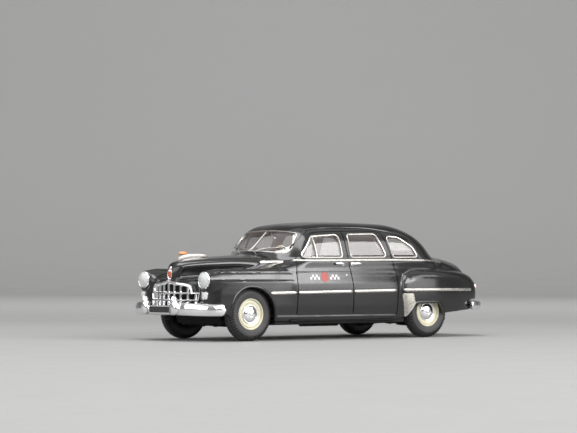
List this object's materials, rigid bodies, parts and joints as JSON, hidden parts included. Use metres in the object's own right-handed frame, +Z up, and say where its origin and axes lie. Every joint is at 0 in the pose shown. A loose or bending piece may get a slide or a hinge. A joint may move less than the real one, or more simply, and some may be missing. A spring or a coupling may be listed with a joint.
{
  "type": "scale model saloon taxi",
  "caption": "Collector's 1:43 scale model of a long six-window saloon taxi of about 1950, with black cast body, bright trim, cream wheels and rolling axles.",
  "frame": {"origin": "bottom centre of the whole model, on the surface it stands on", "axes": "+X towards the front bumper, +Y to the car's left side, +Z up"},
  "size_m": [0.1286, 0.0444, 0.0382],
  "materials": {
    "black_paint": "gloss black enamel on a zinc casting",
    "black_plastic": "satin black moulding",
    "grey_plastic": "silver grey",
    "interior_plastic": "matt",
    "seat_plastic": "matt",
    "cream_plastic": "gloss",
    "clear_glazing": "clear",
    "lamp_glass": "clear, ribbed",
    "red_lamp": "gloss",
    "amber_lamp": "gloss",
    "tyre_rubber": "matt",
    "cream_paint": "gloss cream enamel",
    "chrome_plating": "bright plating",
    "bright_trim": "etched nickel-silver",
    "axle_steel": "turned"
  },
  "bodies": {
    "car": {"body_shell": "black_paint", "base_plate": "black_plastic", "exhaust": "grey_plastic", "cabin_floor": "interior_plastic", "front_seat": "seat_plastic", "rear_seat": "seat_plastic", "dashboard": "interior_plastic", "steering_wheel": "cream_plastic", "rear_view_mirror": "bright_trim", "side_glass": "clear_glazing", "side_window_frames": "bright_trim", "windscreen": "clear_glazing", "windscreen_frame": "bright_trim", "rear_window": "clear_glazing", "rear_window_frame": "bright_trim", "wipers": "bright_trim", "belt_mouldings": "bright_trim", "side_mouldings": "bright_trim", "stone_guards": "bright_trim", "bonnet_side_badges": "bright_trim", "door_handles": "bright_trim", "boot_handle": "bright_trim", "grille": "chrome_plating", "bonnet_badge": "bright_trim", "bonnet_mascot": "chrome_plating", "bonnet_mascot_tip": "amber_lamp", "headlamp_rims": "chrome_plating", "headlamp_lenses": "lamp_glass", "parking_lamps": "lamp_glass", "tail_lamps": "red_lamp", "front_bumper": "chrome_plating", "rear_bumper": "chrome_plating", "front_overriders": "chrome_plating", "rear_overriders": "chrome_plating", "front_number_plate": "black_paint", "rear_number_plate": "black_paint"},
    "front_axle": {"front_axle_rod": "axle_steel", "front_tyres": "tyre_rubber", "front_rims": "cream_paint", "front_hubcaps": "chrome_plating"},
    "rear_axle": {"rear_axle_rod": "axle_steel", "rear_tyres": "tyre_rubber", "rear_rims": "cream_paint", "rear_hubcaps": "chrome_plating"}
  },
  "joints": [
    {"name": "front_axle_spin", "type": "hinge", "parent": "car", "child": "front_axle", "pos_m": [0.04055, 0, 0.00855], "axis": [0, 1, 0], "continuous": true},
    {"name": "rear_axle_spin", "type": "hinge", "parent": "car", "child": "rear_axle", "pos_m": [-0.03387, 0, 0.00855], "axis": [0, 1, 0], "continuous": true}
  ]
}
